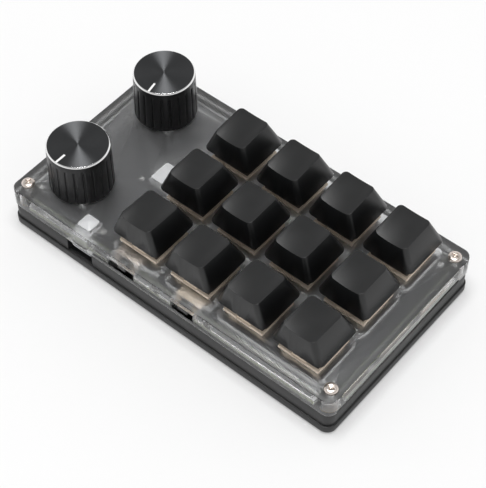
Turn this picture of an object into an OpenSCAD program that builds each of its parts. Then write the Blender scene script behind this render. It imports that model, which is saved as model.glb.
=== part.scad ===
// Macro keypad with twelve keys and two push-and-turn knobs, on a black base under a clear frosted cover.
// X runs across the keypad with the knobs on the right, Y runs away from the user towards the ports, Z is up.
// The origin is the centre of the footprint on the desk. Lengths are millimetres.

/* [Body] */
// Width of the cover, along X
body_w = 125.4; // [123:0.2:130]
// Depth of the cover, along Y
body_d = 69.6; // [69.2:0.2:74]
// Radius of the upright corners
corner_r = 3; // [2:0.25:4]
// Thickness of the frosted cover
cover_h = 6.7; // [6.5:0.1:8]
// Thickness of the black frame under the cover
frame_h = 5.6; // [5.4:0.1:8]
// Thickness of the bottom plate at its edge
plate_h = 2.7; // [2.4:0.1:4]
// Height of the shadow groove between frame and bottom plate
groove_h = 0.3; // [0.2:0.1:0.8]
// Depth of the shadow groove
groove_in = 1.2; // [0.8:0.1:1.6]
// How far the bottom plate stands out past the cover
plate_proud = 0.2; // [0:0.1:0.5]
// How far the frame stands back from the cover
frame_back = 0.2; // [0:0.1:0.5]
// Small chamfer on the outer edges
edge_chamfer = 0.35; // [0.2:0.05:0.6]

/* [Cover and circuit board] */
// Width of the cover's rim round the circuit board
rim_w = 2.7; // [2.4:0.1:3]
// Thickness of the cover where the switches clip in
clip_t = 1.5; // [1.4:0.05:1.6]
// Distance from the top of the cover to the top of the circuit board
board_drop = 5; // [4.9:0.05:5.2]
// Thickness of the circuit board
board_t = 1.6; // [1.2:0.1:1.6]
// Gap round the circuit board
board_gap = 0.3; // [0.2:0.05:0.5]

/* [Keys] */
// Pitch of the key columns
key_pitch_x = 20.3; // [20:0.1:20.6]
// Distance from the back to the first row's centre
row_edge = 13.6; // [13.6:0.1:14.6]
// Distance from the left side to the first key's centre
key_edge = 16.8; // [15.5:0.1:17.5]
// How far a key travels
key_travel = 4; // [3.2:0.1:4]
// Side of the square switch cut-out
switch_hole = 13.4; // [13.3:0.05:13.6]
// Side of the switch collar that rests on the cover
collar_w = 14.6; // [14.4:0.1:15]
// Height of that collar
collar_h = 1; // [0.8:0.1:1.1]
// Height of the switch housing above the cover
switch_top = 6.6; // [6.4:0.1:6.8]

/* [Keycaps] */
// Gap between neighbouring keycaps in a row
cap_gap_x = 2.2; // [2:0.1:2.5]
// Gap between the keycaps of two rows
cap_gap_y = 3.1; // [2.9:0.1:3.4]
// Height of the skirt above the cover
cap_lift = 5.4; // [5.3:0.1:5.8]
// Corner radius of the skirt
cap_skirt_r = 2.5; // [1.5:0.1:3]
// Corner radius of the top
cap_top_r = 1.7; // [1:0.1:2.2]
// How far the sides lean in from the skirt to the top, left and right
cap_lean = 3.4; // [3:0.1:3.6]
// Wall thickness of the skirt
cap_wall = 1.1; // [0.9:0.05:1.2]
// Thickness over the stem, under the bottom of the dish
cap_roof = 1.4; // [1.2:0.1:1.6]
// Depth of the dish across the top
cap_dish = 0.8; // [0.4:0.1:1]
// Rounding of the edge round the top
cap_round = 0.8; // [0.4:0.1:1]

/* [Knobs] */
// Distance from the right side to the knobs' axes
knob_edge = 15.7; // [14.5:0.1:16.5]
// Distance between the two knobs
knob_pitch = 39.2; // [36:0.2:40]
// How far the pair of knobs lies towards the user
knob_offset = 0.9; // [0:0.1:1.5]
// Wall thickness of a knob at its neck
knob_wall = 1; // [0.9:0.05:1.1]
// Diameter at the foot of a knob
knob_foot_d = 20.3; // [19.9:0.1:21.4]
// Diameter under the bright ring
knob_neck_d = 19.7; // [19.5:0.1:20.4]
// Diameter of the flat top inside the bright ring
knob_face_d = 18.7; // [18:0.1:19]
// Height of a knob
knob_h = 16.4; // [15:0.1:18]
// Gap between a knob and the cover
knob_gap = 0.9; // [0.8:0.1:1.5]
// Push travel of a knob
knob_push = 0.5; // [0.3:0.1:0.6]
// Number of grooves round a knob
groove_count = 22; // [16:1:28]
// Width of a groove
groove_w = 0.6; // [0.4:0.05:0.8]
// Diameter of the encoder's shaft
shaft_d = 6; // [5.8:0.1:6.2]
// Width across the shaft's flat
shaft_flat = 4.5; // [4.2:0.1:4.8]
// Side of the encoder's square body
encoder_w = 12; // [11.4:0.1:12.2]
// Height of the encoder's body
encoder_h = 6.5; // [6.3:0.1:6.6]

/* [Ports] */
// Distance from the middle to the socket, towards the knobs
socket_x = 34.2; // [32:0.1:36]
// Width of the socket's shell
socket_w = 8.94; // [8.9:0.01:9]
// Height of the socket's shell
socket_h = 3.2; // [3.1:0.02:3.3]
// Length of the socket's shell
socket_l = 7.3; // [7:0.1:8]
// How far the socket's mouth lies inside the frame's face
socket_in = 0.9; // [0.6:0.1:1.5]
// Width of the notch in the frame for the plug
notch_w = 10.2; // [10:0.1:12]
// Distance from the last key column to the power switch, towards the knobs
power_in = 1.7; // [0:0.1:3]
// Distance from the third key column to the mode switch, away from the knobs
mode_in = 2.2; // [0:0.1:3]
// Width of the power switch's slot in the cover
power_slot_w = 10.6; // [10.2:0.1:11]
// Width of the mode switch's slot in the cover
mode_slot_w = 8.8; // [8.6:0.1:10]
// Width of the power switch's slider
power_tab_w = 3; // [2.4:0.1:3.2]
// Width of the mode switch's slider
mode_tab_w = 4; // [3.4:0.1:4]
// Travel of each slider to either side
slider_travel = 1.5; // [1:0.1:1.6]

/* [Fasteners and feet] */
// Distance from the left and right sides to the screws
screw_edge_x = 3.6; // [3.4:0.1:4]
// Distance from the front and back to the screws
screw_edge_y = 4.6; // [4.2:0.1:5.2]
// Diameter of the screw thread
screw_d = 2; // [1.8:0.1:2.2]
// Diameter of the screw head
screw_head_d = 4.2; // [3.6:0.1:4.4]
// Height of the screw head
screw_head_h = 1.2; // [1:0.1:1.4]
// Diameter of a rubber foot
foot_d = 8; // [6:0.5:10]
// How far a foot stands out of the bottom plate
foot_out = 0.6; // [0.4:0.1:1]

/* [Hidden] */
COLS = 4;
ROWS = 3;
KNOBS = 2;

$fn = 48;
eps = 0.01;          // overshoot of a cut past the face it opens
seat = 0.1;          // gap between pieces that sit on one another with play
slip = 0.3;          // gap between pieces that move past one another
run = 0.05;          // radial clearance of a shaft in its bore

// Levels, from the desk up
plate_z = foot_out;
land_z = plate_z + plate_h;
frame_z = land_z + groove_h;
cover_z = frame_z + frame_h;
deck = cover_z + cover_h;
board_z = cover_z;
board_top = board_z + board_t;
housing_z = deck - board_drop;

// Circuit board and the space that the rim leaves for it
board_w = body_w - 2 * rim_w - 2 * board_gap;
board_d = body_d - 2 * rim_w - 2 * board_gap;
pillar_x = screw_edge_x + 3.4;
pillar_y = screw_edge_y + 3.4;

// Keys, counted from the back left, as seen by the user
key_x0 = -body_w / 2 + key_edge;
key_pitch_y = body_d / 2 - row_edge;
function key_x(c) = key_x0 + (c - 1) * key_pitch_x;
function key_y(r) = (2 - r) * key_pitch_y;
// Pockets under the cover, each round one switch or round the two at the left, and the thin top left over them
pocket_x = 17.8;
pocket_y = 19.4;
pocket_r = 2;
pocket_spans = [[1, 2], [3, 3], [4, 4]];

// Switch housing
body_side = switch_hole - 0.1;
wall_in = 1;
floor_t = 1.5;
upper_foot_x = 13.6;
upper_foot_y = 13.2;
upper_top_x = 9.6;
upper_top_y = 9.2;
roof_t = 1.1;
window_x = 7.3;
window_y = 6.1;
post_d = 4;
post_l = 3.3;
clip_recess = [8.6, 0.5];
collar_notch = [5.2, 0.6];
notch_z = 0.45;
pin_a = [-3.81, 2.54];
pin_b = [2.54, 5.08];

// Stem and spring
slab_x = window_x - 2 * slip;
slab_y = window_y - 2 * slip;
slab_top = switch_top + 0.1;
slab_h = 3.7;
catch_x = 8.1;
catch_y = 7.3;
cross_l = 4;
cross_t = 1.2;
cross_h = 3.6;
pole_d = 1.9;
pole_floor = 0.4;
spring_d = 4.4;
spring_wire = 0.4;
mount_d = 5.5;

cap_w = key_pitch_x - cap_gap_x;
cap_d = key_pitch_y - cap_gap_y;
cap_top_w = cap_w - 2 * cap_lean;
cap_crown = 0.3;      // how far the form stands above the dish's edges before the dish is cut
slice_t = 0.1;
// Keycap tops by row, back edge then front edge: how far in from the skirt, and how high above the cover
cap_top_in = [[0.95, 3.65], [1.55, 3.75], [1.55, 3.75]];
cap_top_z = [[14.3, 13.7], [13.9, 14.05], [13.65, 14.5]];

// Knobs, counted from the back
knob_x = body_w / 2 - knob_edge;
function knob_y(k) = -knob_offset + (k == 1 ? 0.5 : -0.5) * knob_pitch;
knob_z = deck + knob_gap;
knob_top = knob_z + knob_h;
collar_band = 1.9;
ring_h = 0.6;
groove_deep = 0.35;
bushing_d = 7;
bushing_h = 5;
encoder_top = housing_z + encoder_h;
bushing_top = encoder_top + bushing_h;
hub_z = bushing_top + knob_push + slip;
hub_top = knob_top - 1.7;
shaft_top = hub_top - 0.5;
rotor_d = 7.2;
plunger_d = 4.4;
cavity_d = 8.4;
cavity_z = housing_z + 1;
plunger_z = cavity_z + knob_push + 0.2;
plunger_h = 1;
rotor_z = plunger_z + plunger_h + 0.4;
pointer_turn = [0, 11];
pointer_w = 0.7;
pointer_l = 3.7;
pointer_deep = 0.25;

// Ports in the back wall
slot_h = 3.1;
slide_body = [9.4, 3.6, 3.2];
tab_shoulder = 0.4;
tab_root = 2.6;
tab_h = 1.7;
power_x = key_x(COLS) + power_in;
mode_x = key_x(COLS - 1) - mode_in;
socket_t = 0.3;
socket_back = 0.8;
tongue = [6.7, 0.7];
socket_y = body_d / 2 - frame_back - socket_in;
socket_z = cover_z - socket_h;

// Indicators
small_pipe_w = 5;
large_pipe_w = 7.7;
small_pipe_in = 5.3;
large_pipe_in = 13;
small_pipe = [socket_x, body_d / 2 - small_pipe_in];
large_pipe = [key_x(COLS) + large_pipe_in, 0];
pipe_foot = 0.6;
pipe_foot_h = 1;
pipe_gap = 0.15;
pipe_crown = 0.6;
pipe_tip = 0.6;
pipe_r = 0.8;
led_h = 1.4;
led_in = 0.4;

// Battery and controller
battery_size = [50, 34, 3.5];
battery_at = [-25, 0];
battery_r = 1.5;
module_size = [13, 17, 2];
module_at = [31.5, -4];

// Fasteners
insert_d = 3.2;
insert_l = 4;
screw_l = 10;
plate_screw_l = 4.4;
plate_screw_in = 9.5;
csk_d = 3.6;
foot_h = 1.2;
foot_in = 13;
shelf = 3.8;         // free height under the circuit board for pins and solder

// ---------------------------------------------------------------- shapes used by several pieces

module round_rect(w, d, r) {
    square([w - 2 * r, d], center = true);
    square([w, d - 2 * r], center = true);
    for (x = [-1, 1], y = [-1, 1])
        translate([x * (w / 2 - r), y * (d / 2 - r)])
            circle(r = r);
}

// Triangle that cuts a 45 degree chamfer off the top outer edge, swept round a rounded rectangle
module edge_cut(w, d, r, c) {
    tip = 0.2;
    for (turn = [0 : 3]) {
        across = turn % 2 == 0;
        long = (across ? w : d) - 2 * r;
        rotate([0, 0, turn * 90])
            translate([-long / 2, (across ? d : w) / 2, 0])
                rotate([90, 0, 90])
                    linear_extrude(long)
                        polygon([[-c, tip], [tip, tip], [tip, -c]]);
    }
    for (x = [0, 1], y = [0, 1])
        mirror([x, 0, 0])
            mirror([0, y, 0])
                translate([w / 2 - r, d / 2 - r, 0])
                    rotate_extrude(angle = 90)
                        polygon([[r - c, tip], [r + tip, tip], [r + tip, -c]]);
}

// Block with four sloping sides, wide at the foot, made by crossing two upright wedges
module frustum(foot, top, h) {
    intersection() {
        rotate([90, 0, 0])
            linear_extrude(foot.y + 1, center = true)
                polygon([[-foot.x / 2, 0], [foot.x / 2, 0], [top.x / 2, h], [-top.x / 2, h]]);
        rotate([90, 0, 90])
            linear_extrude(foot.x + 1, center = true)
                polygon([[-foot.y / 2, 0], [foot.y / 2, 0], [top.y / 2, h], [-top.y / 2, h]]);
    }
}

module at_screws(z) {
    for (x = [-1, 1], y = [-1, 1])
        translate([x * (body_w / 2 - screw_edge_x), y * (body_d / 2 - screw_edge_y), z])
            children();
}

module at_plate_screws(z) {
    for (x = [-1, 1], y = [-1, 1])
        translate([x * (body_w / 2 - plate_screw_in), y * (body_d / 2 - screw_edge_y), z])
            children();
}

module at_keys(z) {
    for (r = [1 : ROWS], c = [1 : COLS])
        translate([key_x(c), key_y(r), z])
            children();
}

module at_knobs(z) {
    for (k = [1 : KNOBS])
        translate([knob_x, knob_y(k), z])
            children();
}

module block(size, z) {
    translate([-size.x / 2, -size.y / 2, z])
        cube(size);
}

// ---------------------------------------------------------------- casing

module bottom_plate() {
    w = body_w + 2 * plate_proud;
    d = body_d + 2 * plate_proud;
    color("#2b2b2c")
        difference() {
            union() {
                translate([0, 0, plate_z])
                    linear_extrude(plate_h)
                        round_rect(w, d, corner_r + plate_proud);
                translate([0, 0, land_z - eps])
                    linear_extrude(groove_h + eps)
                        round_rect(w - 2 * groove_in, d - 2 * groove_in, corner_r);
            }
            translate([0, 0, plate_z])
                mirror([0, 0, 1])
                    edge_cut(w, d, corner_r + plate_proud, edge_chamfer);
            at_plate_screws(plate_z - eps) {
                cylinder(d = screw_d + 0.4, h = plate_h + groove_h + 1);
                cylinder(d1 = csk_d + 0.2, d2 = screw_d + 0.4, h = screw_head_h);
            }
            for (x = [-1, 1], y = [-1, 1])
                translate([x * (body_w / 2 - foot_in), y * (body_d / 2 - foot_in), plate_z - 1])
                    cylinder(d = foot_d + 0.4, h = 1 + foot_h - foot_out);
        }
}

module frame() {
    w = body_w - 2 * frame_back;
    d = body_d - 2 * frame_back;
    floor_z = cover_z - shelf;
    inner_w = board_w - 4;
    inner_d = board_d - 4;
    color("#333334")
        difference() {
            translate([0, 0, frame_z])
                linear_extrude(frame_h)
                    round_rect(w, d, corner_r);
            // shelf space for pins and solder, with the four corner pillars left standing
            translate([0, 0, floor_z])
                linear_extrude(shelf + 1)
                    difference() {
                        square([inner_w, inner_d], center = true);
                        for (x = [-1, 1], y = [-1, 1])
                            translate([x * (body_w / 2), y * (body_d / 2)])
                                square([4 * pillar_x - 2, 2 * pillar_y + 2], center = true);
                    }
            // window for the battery, which lies on the bottom plate
            translate([battery_at.x, battery_at.y, 0])
                block([battery_size.x + 2 * slip, battery_size.y + 2 * slip, frame_h + 2], frame_z - 1);
            // notch that the plug goes through
            translate([socket_x - notch_w / 2, body_d / 2 - socket_l - socket_in - 1, frame_z - 1])
                cube([notch_w, socket_l + socket_in + 4, frame_h + 2]);
            at_screws(cover_z - insert_l)
                cylinder(d = insert_d + 2 * seat, h = insert_l + 1);
            at_plate_screws(frame_z - 1)
                cylinder(d = screw_d + 2 * run, h = plate_screw_l + 1 - plate_h);
        }
}

module cover() {
    recess_h = board_t + seat;
    color("#aab0b2", 0.55)
        difference() {
            translate([0, 0, cover_z])
                linear_extrude(cover_h)
                    round_rect(body_w, body_d, corner_r);
            translate([0, 0, deck])
                edge_cut(body_w, body_d, corner_r, edge_chamfer);
            // recess that holds the circuit board, with a pillar at each screw
            translate([0, 0, cover_z - 1])
                linear_extrude(recess_h + 1)
                    board_outline(board_gap);
            // switches: pockets from below, and the square holes that the housings clip into
            for (r = [1 : ROWS], span = pocket_spans)
                translate([(key_x(span[0]) + key_x(span[1])) / 2, key_y(r), cover_z - 1])
                    linear_extrude(cover_h - clip_t + 1)
                        round_rect(pocket_x + key_x(span[1]) - key_x(span[0]), pocket_y, pocket_r);
            at_keys(cover_z - 1)
                block([switch_hole, switch_hole, cover_h + 2], 0);
            at_knobs(cover_z - 1)
                linear_extrude(cover_h + 2)
                    round_rect(encoder_w + 2 * slip, encoder_w + 2 * slip, 0.5);
            at_screws(cover_z - 1)
                cylinder(d = screw_d + 0.4, h = cover_h + 2);
            light_pipe_hole(small_pipe, small_pipe_w);
            light_pipe_hole(large_pipe, large_pipe_w);
            slide_switch_space(power_x, slide_body, power_slot_w);
            slide_switch_space(mode_x, slide_body, mode_slot_w);
        }
}

module light_pipe_hole(at, w) {
    translate([at.x, at.y, cover_z - 1]) {
        linear_extrude(cover_h + 2)
            round_rect(w + 2 * pipe_gap, w + 2 * pipe_gap, pipe_r);
        linear_extrude(board_t + 1 + led_h + 2 * seat + pipe_foot_h + pipe_gap)
            round_rect(w + 2 * pipe_foot + 2 * pipe_gap, w + 2 * pipe_foot + 2 * pipe_gap, pipe_r);
    }
}

module slide_switch_space(x, size, slot_w) {
    back = body_d / 2 - rim_w;
    translate([x - size.x / 2 - slip, back - size.y - 2 * slip, cover_z - 1])
        cube([size.x + 2 * slip, size.y + 2 * slip + eps, board_t + 1 + seat + size.z + slip]);
    translate([x - slot_w / 2, back - eps, board_top + seat - eps])
        cube([slot_w, rim_w + 1, slot_h]);
}

module rubber_feet() {
    color("#1d1d1d")
        for (x = [-1, 1], y = [-1, 1])
            translate([x * (body_w / 2 - foot_in), y * (body_d / 2 - foot_in), 0])
                cylinder(d = foot_d, h = foot_h);
}

// Pan head screw with a cross recess, its head above z = 0
module pan_screw(length) {
    difference() {
        union() {
            translate([0, 0, -length])
                cylinder(d = screw_d, h = length + eps);
            rotate_extrude()
                polygon([[0, 0], [screw_head_d / 2, 0], [screw_head_d / 2, 0.55 * screw_head_h],
                         [0.42 * screw_head_d, 0.85 * screw_head_h], [0.3 * screw_head_d, screw_head_h],
                         [0, screw_head_h]]);
        }
        for (a = [0, 90])
            rotate([0, 0, a])
                block([0.55 * screw_head_d, 0.4, screw_head_h], 0.45 * screw_head_h);
    }
}

module cover_screws() {
    color("#d8c4b6")
        at_screws(deck)
            pan_screw(screw_l);
}

module plate_screws() {
    color("#b9b9ba")
        at_plate_screws(plate_z)
            difference() {
                union() {
                    cylinder(d1 = csk_d, d2 = screw_d, h = screw_head_h - 0.2);
                    cylinder(d = screw_d, h = plate_screw_l);
                }
                for (a = [45, 135])
                    rotate([0, 0, a])
                        block([0.5 * csk_d, 0.4, 1], -0.5);
            }
}

module threaded_inserts() {
    color("#b08d4a")
        at_screws(cover_z - insert_l)
            difference() {
                cylinder(d = insert_d, h = insert_l);
                translate([0, 0, -1])
                    cylinder(d = screw_d + 2 * run, h = insert_l + 2);
            }
}

// ---------------------------------------------------------------- electronics

module board_outline(grow) {
    difference() {
        square([board_w + 2 * grow, board_d + 2 * grow], center = true);
        for (x = [-1, 1], y = [-1, 1])
            translate([x * body_w / 2, y * body_d / 2])
                square([2 * (pillar_x - grow), 2 * (pillar_y - grow)], center = true);
    }
}

module circuit_board() {
    color("#2c4a35")
        difference() {
            translate([0, 0, board_z])
                linear_extrude(board_t)
                    board_outline(0);
            at_keys(board_z - 1) {
                cylinder(d = post_d + 2 * seat, h = board_t + 2);
                for (p = [pin_a, pin_b])
                    translate([p.x, p.y, 0])
                        cylinder(d = 1.5, h = board_t + 2, $fn = 24);
            }
            at_knobs(board_z - 1)
                encoder_pins(0.35, board_t + 2);
        }
}

module controller_module() {
    color("#8f9396")
        translate([module_at.x, module_at.y, board_z - module_size.z]) {
            block([module_size.x, module_size.y, 0.8], module_size.z - 0.8);
            block([module_size.x - 1, module_size.y - 4.5, module_size.z - 0.8], 0);
        }
}

module battery() {
    color("#b9bcc0")
        translate([battery_at.x, battery_at.y, frame_z])
            linear_extrude(battery_size.z)
                round_rect(battery_size.x, battery_size.y, battery_r);
}

module indicator_leds() {
    color("#f2efe2") {
        for (pipe = [[small_pipe, small_pipe_w], [large_pipe, large_pipe_w]])
            translate([pipe[0].x, pipe[0].y, board_top])
                block([pipe[1] - 2 * led_in, pipe[1] - 2 * led_in, led_h], 0);
    }
}

// Clear block that carries an indicator's light up to the cover's face, with a low four-sided crown
module light_pipe(at, w) {
    foot_z = board_top + led_h + seat;
    translate([at.x, at.y, 0]) {
        translate([0, 0, foot_z])
            linear_extrude(pipe_foot_h)
                round_rect(w + 2 * pipe_foot, w + 2 * pipe_foot, pipe_r);
        translate([0, 0, foot_z + pipe_foot_h - eps])
            linear_extrude(deck - foot_z - pipe_foot_h + eps)
                round_rect(w, w, pipe_r);
        hull() {
            translate([0, 0, deck - slice_t])
                linear_extrude(slice_t)
                    round_rect(w, w, pipe_r);
            translate([0, 0, deck + pipe_crown - slice_t])
                linear_extrude(slice_t)
                    square(pipe_tip, center = true);
        }
    }
}

module small_light_pipe() {
    color("#f4f4f2")
        light_pipe(small_pipe, small_pipe_w);
}

module large_light_pipe() {
    color("#f4f4f2")
        light_pipe(large_pipe, large_pipe_w);
}

// Flattened tube with round ends, as seen from the back of the keypad
module socket_outline(w, h) {
    r = h / 2;
    square([w - h, h], center = true);
    for (x = [-1, 1])
        translate([x * (w / 2 - r), 0])
            circle(r = r);
}

module socket_shell() {
    color("#c9cbcd")
        translate([socket_x, socket_y, socket_z + socket_h / 2])
            rotate([90, 0, 0])
                difference() {
                    linear_extrude(socket_l)
                        socket_outline(socket_w, socket_h);
                    translate([0, 0, -1])
                        linear_extrude(socket_l + 1 - socket_back)
                            socket_outline(socket_w - 2 * socket_t, socket_h - 2 * socket_t);
                }
}

module socket_tongue() {
    depth = socket_l - socket_back;
    wall = socket_t + seat;
    color("#161616")
        translate([socket_x, socket_y, socket_z + socket_h / 2])
            rotate([90, 0, 0]) {
                translate([0, 0, socket_in])
                    linear_extrude(depth - socket_in)
                        square(tongue, center = true);
                translate([0, 0, depth - 1.6])
                    linear_extrude(1.6)
                        socket_outline(socket_w - 2 * wall, socket_h - 2 * wall);
            }
}

// Slide switch: a housing with a slot in its back face, and a slider whose tab reaches into the cover's slot
module slide_switch_body(x, size, tab_w) {
    back = body_d / 2 - rim_w - slip;
    path = tab_w + 2 * slider_travel + 2 * seat;
    translate([x, back - size.y / 2, board_top])
        difference() {
            block(size, seat);
            for (cut = [[path, -tab_root / 2], [path + 2 * tab_shoulder, -tab_root - seat]])
                translate([-cut[0] / 2, size.y / 2 + cut[1], seat + size.z / 2 - tab_h / 2 - seat])
                    cube([cut[0], tab_root / 2 + (cut[1] < -tab_root / 2 ? seat : 1), tab_h + 2 * seat]);
        }
}

module slider(x, size, tab_w) {
    back = body_d / 2 - rim_w - slip;
    reach = rim_w + slip - 0.35;
    translate([x, back, board_top + seat + size.z / 2]) {
        translate([-tab_w / 2, -tab_root, -tab_h / 2])
            cube([tab_w, reach + tab_root, tab_h]);
        translate([-tab_w / 2 - tab_shoulder, -tab_root, -tab_h / 2])
            cube([tab_w + 2 * tab_shoulder, tab_root / 2 - 2 * seat, tab_h]);
    }
}

module power_switch_body() {
    color("#a3a19c")
        slide_switch_body(power_x, slide_body, power_tab_w);
}

module power_slider() {
    color("#151515")
        slider(power_x, slide_body, power_tab_w);
}

module mode_switch_body() {
    color("#ecdcc4")
        slide_switch_body(mode_x, slide_body, mode_tab_w);
}

module mode_slider() {
    color("#151515")
        slider(mode_x, slide_body, mode_tab_w);
}

// ---------------------------------------------------------------- key switches

// Lower half of a switch, its collar on the cover at z = 0
module lower_housing() {
    inner = body_side - 2 * wall_in;
    difference() {
        union() {
            block([body_side, body_side, board_drop], -board_drop);
            block([collar_w, collar_w, collar_h], 0);
            translate([0, 0, -board_drop - post_l])
                cylinder(d = post_d, h = post_l + eps);
        }
        block([inner, inner, board_drop + collar_h], floor_t - board_drop);
        // bore that guides the stem's pole
        translate([0, 0, -board_drop - post_l + pole_floor])
            cylinder(d = pole_d + 2 * seat, h = post_l + floor_t);
        // openings for the contacts
        for (p = [pin_a, pin_b])
            translate([p.x, p.y, 0])
                block([1.3, 0.7, floor_t + 2], -board_drop - 1);
        for (s = [-1, 1]) {
            translate([0, s * collar_w / 2, 0])
                block([collar_notch.x, 2 * collar_notch.y, collar_h], notch_z);
            translate([0, s * body_side / 2, 0])
                block([clip_recess.x, 2 * clip_recess.y, board_drop + 1 - clip_t], -board_drop - 1);
        }
    }
}

module lower_housings() {
    color("#d9c5a8")
        at_keys(deck)
            lower_housing();
}

// Upper half of a switch: a sloping shell with the window that the stem comes through
module upper_housing() {
    h = switch_top - collar_h;
    cavity = h - roof_t;
    slope_x = (upper_foot_x - upper_top_x) / h;
    slope_y = (upper_foot_y - upper_top_y) / h;
    difference() {
        translate([0, 0, collar_h])
            frustum([upper_foot_x, upper_foot_y], [upper_top_x, upper_top_y], h);
        translate([0, 0, collar_h - eps])
            frustum([upper_foot_x - 2 * wall_in, upper_foot_y - 2 * wall_in],
                    [upper_foot_x - 2 * wall_in - slope_x * cavity,
                     upper_foot_y - 2 * wall_in - slope_y * cavity],
                    cavity);
        block([window_x, window_y, switch_top + 1], 0);
    }
}

module upper_housings() {
    color("#4a443c")
        at_keys(deck)
            upper_housing();
}

module switch_contacts() {
    pin_foot = board_drop + 3;
    color("#c8a24c")
        at_keys(deck) {
            translate([pin_a.x, pin_a.y, 0])
                block([0.9, 0.3, pin_foot - 2], -pin_foot);
            translate([pin_b.x, pin_b.y, 0])
                block([0.9, 0.3, pin_foot], -pin_foot);
        }
}

module springs_row(r) {
    foot = floor_t - board_drop;
    top = slab_top - slab_h;
    color("#b7babd")
        for (c = [1 : COLS])
            translate([key_x(c), key_y(r), deck + foot])
                difference() {
                    cylinder(d = spring_d, h = top - foot);
                    translate([0, 0, -1])
                        cylinder(d = spring_d - 2 * spring_wire, h = top - foot + 2);
                }
}

// Stem of a switch: cross for the cap, slab in the window, catch under the roof and pole in the spring
module stem() {
    catch_top = switch_top - roof_t - 0.2;
    pole_tip = key_travel + pole_floor + 0.2 - board_drop - post_l;
    color("#7b3b32")
        union() {
            for (size = [[cross_l, cross_t, cross_h], [cross_t, cross_l, cross_h]])
                block(size, slab_top);
            block([slab_x, slab_y, slab_h], slab_top - slab_h);
            block([catch_x, catch_y, 1], catch_top - 1);
            translate([0, 0, pole_tip])
                cylinder(d = pole_d, h = slab_top - slab_h - pole_tip + eps, $fn = 32);
        }
}

// ---------------------------------------------------------------- keycaps

// Back edge and front edge of a row's top: distance from the key's axis, and height above the cover
function cap_edges(r) = [for (i = [0, 1]) [cap_d / 2 - cap_top_in[r - 1][i], cap_top_z[r - 1][i]]];

// Tilt of the top, and the children set on its middle, drop below the line between its front and back edges
function cap_tilt(edges) = atan((edges[0].y - edges[1].y) / (edges[0].x + edges[1].x));

module on_cap_top(edges, drop) {
    translate([0, (edges[0].x - edges[1].x) / 2, (edges[0].y + edges[1].y) / 2])
        rotate([cap_tilt(edges), 0, 0])
            translate([0, 0, -drop])
                children();
}

module cap_slice(w, d, r) {
    linear_extrude(slice_t)
        round_rect(w, d, max(r, 0.5), $fn = 32);
}

// Sloping sides from the skirt to the top: t moves the form in from the outer face, drop lowers its top
module cap_form(edges, t, drop) {
    long = (edges[0].x + edges[1].x) / cos(cap_tilt(edges));
    outside = t == 0;
    hull() {
        translate([0, 0, cap_lift - (outside ? 0 : slice_t)])
            cap_slice(cap_w - 2 * t, cap_d - 2 * t, cap_skirt_r - t);
        on_cap_top(edges, drop + (outside ? cap_round : 0))
            cap_slice(cap_top_w - 2 * t, long - 2 * t, cap_top_r - t);
        if (outside)
            on_cap_top(edges, -cap_crown)
                cap_slice(cap_top_w - cap_round, long - cap_round, cap_top_r);
    }
}

// Sculpted cap: sloping sides, a dish that runs from back to front, a hollow and the mount for the stem
module keycap(r) {
    edges = cap_edges(r);
    dish_r = (pow(cap_top_w / 2, 2) + pow(cap_dish, 2)) / (2 * cap_dish);
    mount_foot = slab_top + seat;
    color("#303234")
        difference() {
            union() {
                difference() {
                    cap_form(edges, 0, 0);
                    cap_form(edges, cap_wall, cap_dish + cap_roof);
                }
                intersection() {
                    translate([0, 0, mount_foot])
                        cylinder(d = mount_d, h = 10);
                    cap_form(edges, 0.2, cap_dish + 0.2);
                }
            }
            on_cap_top(edges, cap_dish - dish_r)
                rotate([90, 0, 0])
                    cylinder(r = dish_r, h = 2 * cap_d, center = true, $fn = 96);
            for (size = [[cross_l + 2 * seat, cross_t + 2 * seat, cross_h + 2 * seat],
                         [cross_t + 2 * seat, cross_l + 2 * seat, cross_h + 2 * seat]])
                block(size, mount_foot - eps);
        }
}

// ---------------------------------------------------------------- encoders and knobs

// Contact pins and the two lugs of an encoder, grown for the holes in the board
module encoder_pins(grow, h) {
    for (x = [-2.5, 0, 2.5])
        translate([x, -5.2, 0])
            cylinder(d = 0.9 + 2 * grow, h = h, $fn = 24);
    for (x = [-2.5, 2.5])
        translate([x, 5.2, 0])
            cylinder(d = 0.9 + 2 * grow, h = h, $fn = 24);
    for (s = [-1, 1])
        translate([s * (encoder_w / 2 - 0.4), 0, 0])
            block([0.6 + 2 * grow, 2 + 2 * grow, h], 0);
}

module encoder_body() {
    color("#9da0a3")
        difference() {
            union() {
                block([encoder_w, encoder_w, encoder_h], housing_z);
                translate([0, 0, encoder_top - eps])
                    cylinder(d = bushing_d, h = bushing_h + eps);
                translate([0, 0, board_z - 1.2])
                    encoder_pins(0, housing_z - board_z + 1.2 + eps);
            }
            translate([0, 0, cavity_z])
                cylinder(d = cavity_d, h = encoder_top - 1 - cavity_z);
            translate([0, 0, cavity_z])
                cylinder(d = shaft_d + 2 * run, h = encoder_h + bushing_h);
        }
}

module encoder_plunger() {
    color("#d8b36a")
        translate([0, 0, plunger_z])
            cylinder(d = plunger_d, h = plunger_h);
}

// D shaft with the rotor disc that carries the wipers
module encoder_shaft() {
    flat_z = hub_z - 0.5;
    color("#bcbfc2")
        difference() {
            union() {
                translate([0, 0, plunger_z + plunger_h])
                    cylinder(d = shaft_d, h = shaft_top - plunger_z - plunger_h);
                translate([0, 0, rotor_z])
                    cylinder(d = rotor_d, h = 1);
            }
            translate([shaft_flat - shaft_d / 2, -shaft_d, flat_z])
                cube([shaft_d, 2 * shaft_d, knob_h]);
        }
}

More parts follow.
